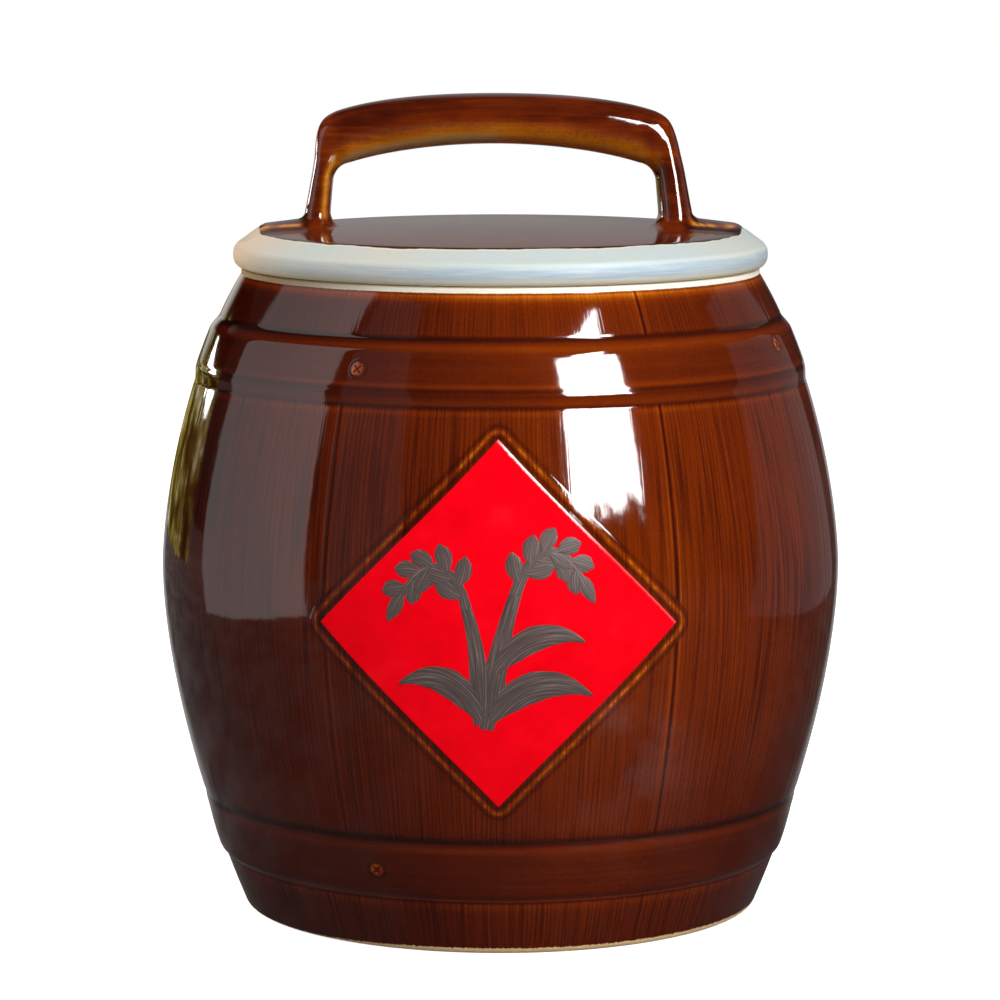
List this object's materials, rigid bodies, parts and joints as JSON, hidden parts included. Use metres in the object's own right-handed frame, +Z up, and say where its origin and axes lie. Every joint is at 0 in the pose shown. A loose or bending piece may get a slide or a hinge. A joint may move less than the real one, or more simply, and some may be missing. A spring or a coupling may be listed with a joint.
{
  "type": "rice storage jar",
  "caption": "Barrel-shaped glazed stoneware jar with moulded staves and hoops, a raised diamond panel on the front and a loose lid with a collar and a strap handle.",
  "frame": {"origin": "centre of the foot ring's underside, on the jar's axis", "axes": "+Z up along the jar's axis, -Y towards the front with the diamond panel, +X to the right seen from the front"},
  "size_m": [0.3, 0.2999, 0.3594],
  "materials": {
    "brown_glaze": "glossy transparent brown glaze, amber where it is thin",
    "celadon_glaze": "pale blue-green glaze with a soft gloss",
    "red_enamel": "satin red enamel"
  },
  "bodies": {
    "jar": {"jar_body": "brown_glaze", "diamond_panel": "red_enamel"},
    "lid": {"lid": "celadon_glaze", "lid_handle": "brown_glaze"}
  },
  "joints": [
    {"name": "lid_lift", "type": "slide", "parent": "jar", "child": "lid", "axis": [0, 0, 1], "range_m": [0, 0.15]}
  ]
}
